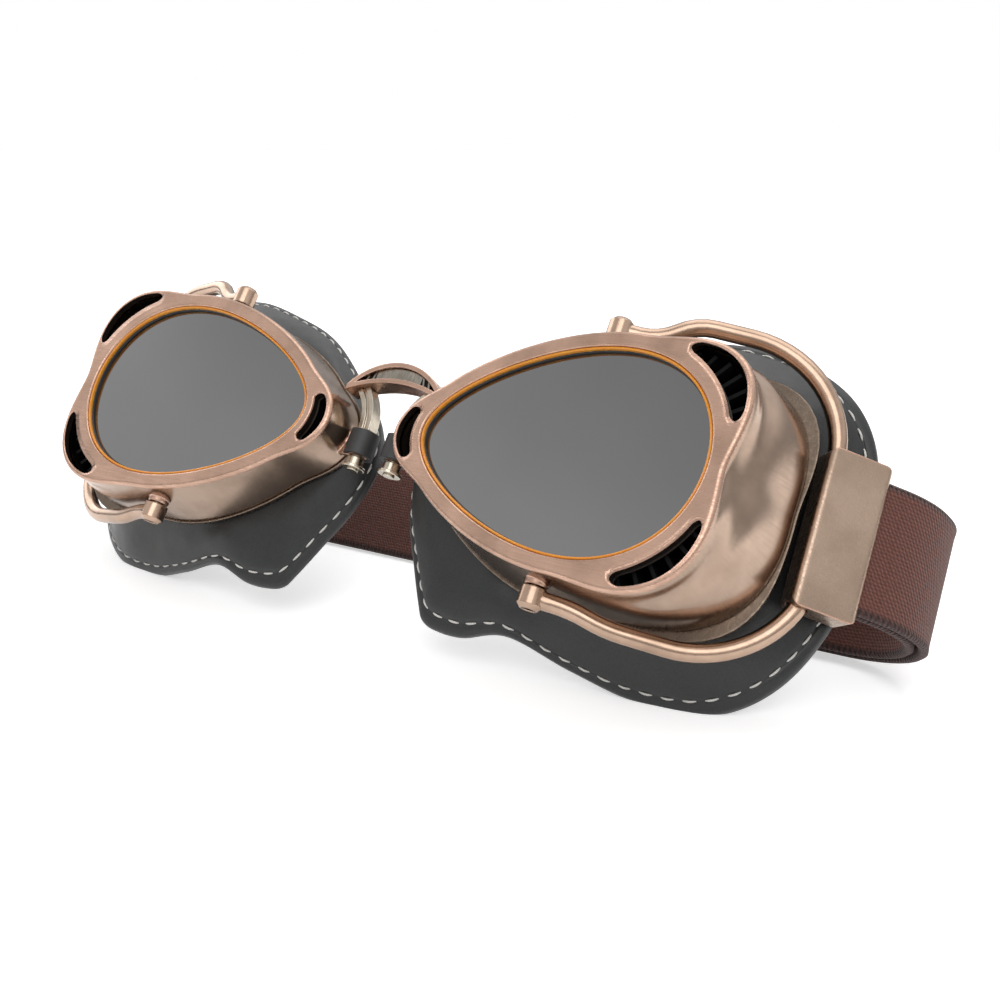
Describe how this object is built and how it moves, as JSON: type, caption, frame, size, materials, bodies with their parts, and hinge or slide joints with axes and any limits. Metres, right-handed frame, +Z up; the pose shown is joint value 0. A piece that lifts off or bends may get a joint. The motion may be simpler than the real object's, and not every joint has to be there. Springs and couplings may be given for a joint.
{
  "type": "vintage riding goggles",
  "caption": "Riding goggles with copper eye cups, mirrored lenses, leather pads, hinged nose bridge, swinging strap bails and an elastic strap.",
  "frame": {"origin": "on the table under the middle of the goggles", "axes": "+X to the wearer's left, +Y to the back of the goggles, +Z up; the goggles lean back as they stand on a table"},
  "size_m": [0.227, 0.0729, 0.0704],
  "materials": {
    "copper": "brushed copper plating over the die-cast cups, the arch and the clasps",
    "nickel": "antique nickel, softly polished",
    "mirror_lens": "flat mirror-coated lens",
    "amber_rubber": "translucent amber gasket",
    "black_plastic": "black moulding",
    "black_rubber": "matt black",
    "leather": "fine-grained black leather with white stitching",
    "foam": "black fleece-faced foam",
    "elastic": "brown knitted elastic"
  },
  "bodies": {
    "bridge": {"bridge_arch": "copper", "bridge_bar": "nickel", "bridge_liner": "black_rubber", "left_leg": "nickel", "right_leg": "nickel", "left_clip": "nickel", "right_clip": "nickel", "strap": "elastic"},
    "eye_left": {"left_frame": "copper", "left_lens": "mirror_lens", "left_gasket": "amber_rubber", "left_baffle": "black_plastic", "left_flange": "nickel", "left_pad": "leather", "left_foam": "foam", "left_sleeve": "black_rubber", "left_lug_pins": "nickel"},
    "bail_left": {"left_bail": "nickel"},
    "clasp_left": {"left_clasp": "copper", "left_strap_pin": "nickel"},
    "eye_right": {"right_frame": "copper", "right_lens": "mirror_lens", "right_gasket": "amber_rubber", "right_baffle": "black_plastic", "right_flange": "nickel", "right_pad": "leather", "right_foam": "foam", "right_sleeve": "black_rubber", "right_lug_pins": "nickel"},
    "bail_right": {"right_bail": "nickel"},
    "clasp_right": {"right_clasp": "copper", "right_strap_pin": "nickel"}
  },
  "joints": [
    {"name": "fold_left", "type": "hinge", "parent": "bridge", "child": "eye_left", "pos_m": [0.0049, -0.01279, 0.03975], "axis": [0, 0.6018, 0.7986], "range_deg": [-10, 10], "deforming": ["strap"]},
    {"name": "bail_left", "type": "hinge", "parent": "eye_left", "child": "bail_left", "pos_m": [0.05006, -0.01558, 0.04524], "axis": [0, 0.6018, 0.7986], "range_deg": [-25, 0], "deforming": ["strap"]},
    {"name": "clasp_left", "type": "hinge", "parent": "bail_left", "child": "clasp_left", "pos_m": [0.09385, -0.00405, 0.03505], "axis": [0, 0.6018, 0.7986], "range_deg": [-20, 0], "deforming": ["strap"]},
    {"name": "fold_right", "type": "hinge", "parent": "bridge", "child": "eye_right", "pos_m": [-0.0049, -0.01279, 0.03975], "axis": [0, -0.6018, -0.7986], "range_deg": [-10, 10], "deforming": ["strap"]},
    {"name": "bail_right", "type": "hinge", "parent": "eye_right", "child": "bail_right", "pos_m": [-0.05006, -0.01558, 0.04524], "axis": [0, -0.6018, -0.7986], "range_deg": [-25, 0], "deforming": ["strap"]},
    {"name": "clasp_right", "type": "hinge", "parent": "bail_right", "child": "clasp_right", "pos_m": [-0.09385, -0.00405, 0.03505], "axis": [0, -0.6018, -0.7986], "range_deg": [-20, 0], "deforming": ["strap"]}
  ]
}
